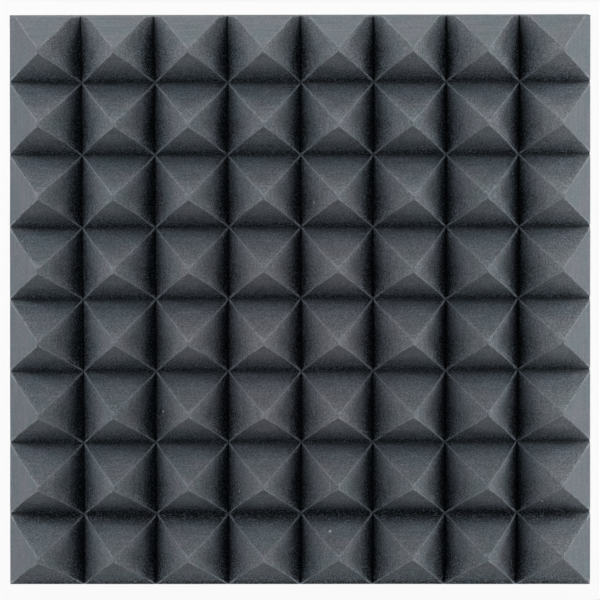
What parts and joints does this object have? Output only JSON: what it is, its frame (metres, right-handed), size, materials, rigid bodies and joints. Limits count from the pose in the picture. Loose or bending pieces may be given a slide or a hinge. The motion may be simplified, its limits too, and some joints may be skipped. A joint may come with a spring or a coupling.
{
  "type": "acoustic foam panel",
  "caption": "Square tile of soft open-cell foam whose front is cut into a field of pyramids, with a flat self-adhesive back under split release paper.",
  "frame": {"origin": "middle of the tile's flat back, on the face that lies on the wall or table", "axes": "+Z out of the wall through the pyramid tops, +Y towards the top of the pictured tile, +X towards its right side"},
  "size_m": [0.3048, 0.3014, 0.0513],
  "materials": {
    "foam": "charcoal grey open-cell polyurethane foam, saw cut, dead matt",
    "adhesive": "milky pressure-sensitive adhesive film, slightly tacky sheen",
    "release_paper": "cream silicone-coated kraft paper, smooth with a low sheen"
  },
  "bodies": {
    "root": {"foam_panel": "foam", "adhesive_film": "adhesive", "liner_tack_strip": "release_paper", "liner_main": "release_paper"}
  },
  "joints": []
}
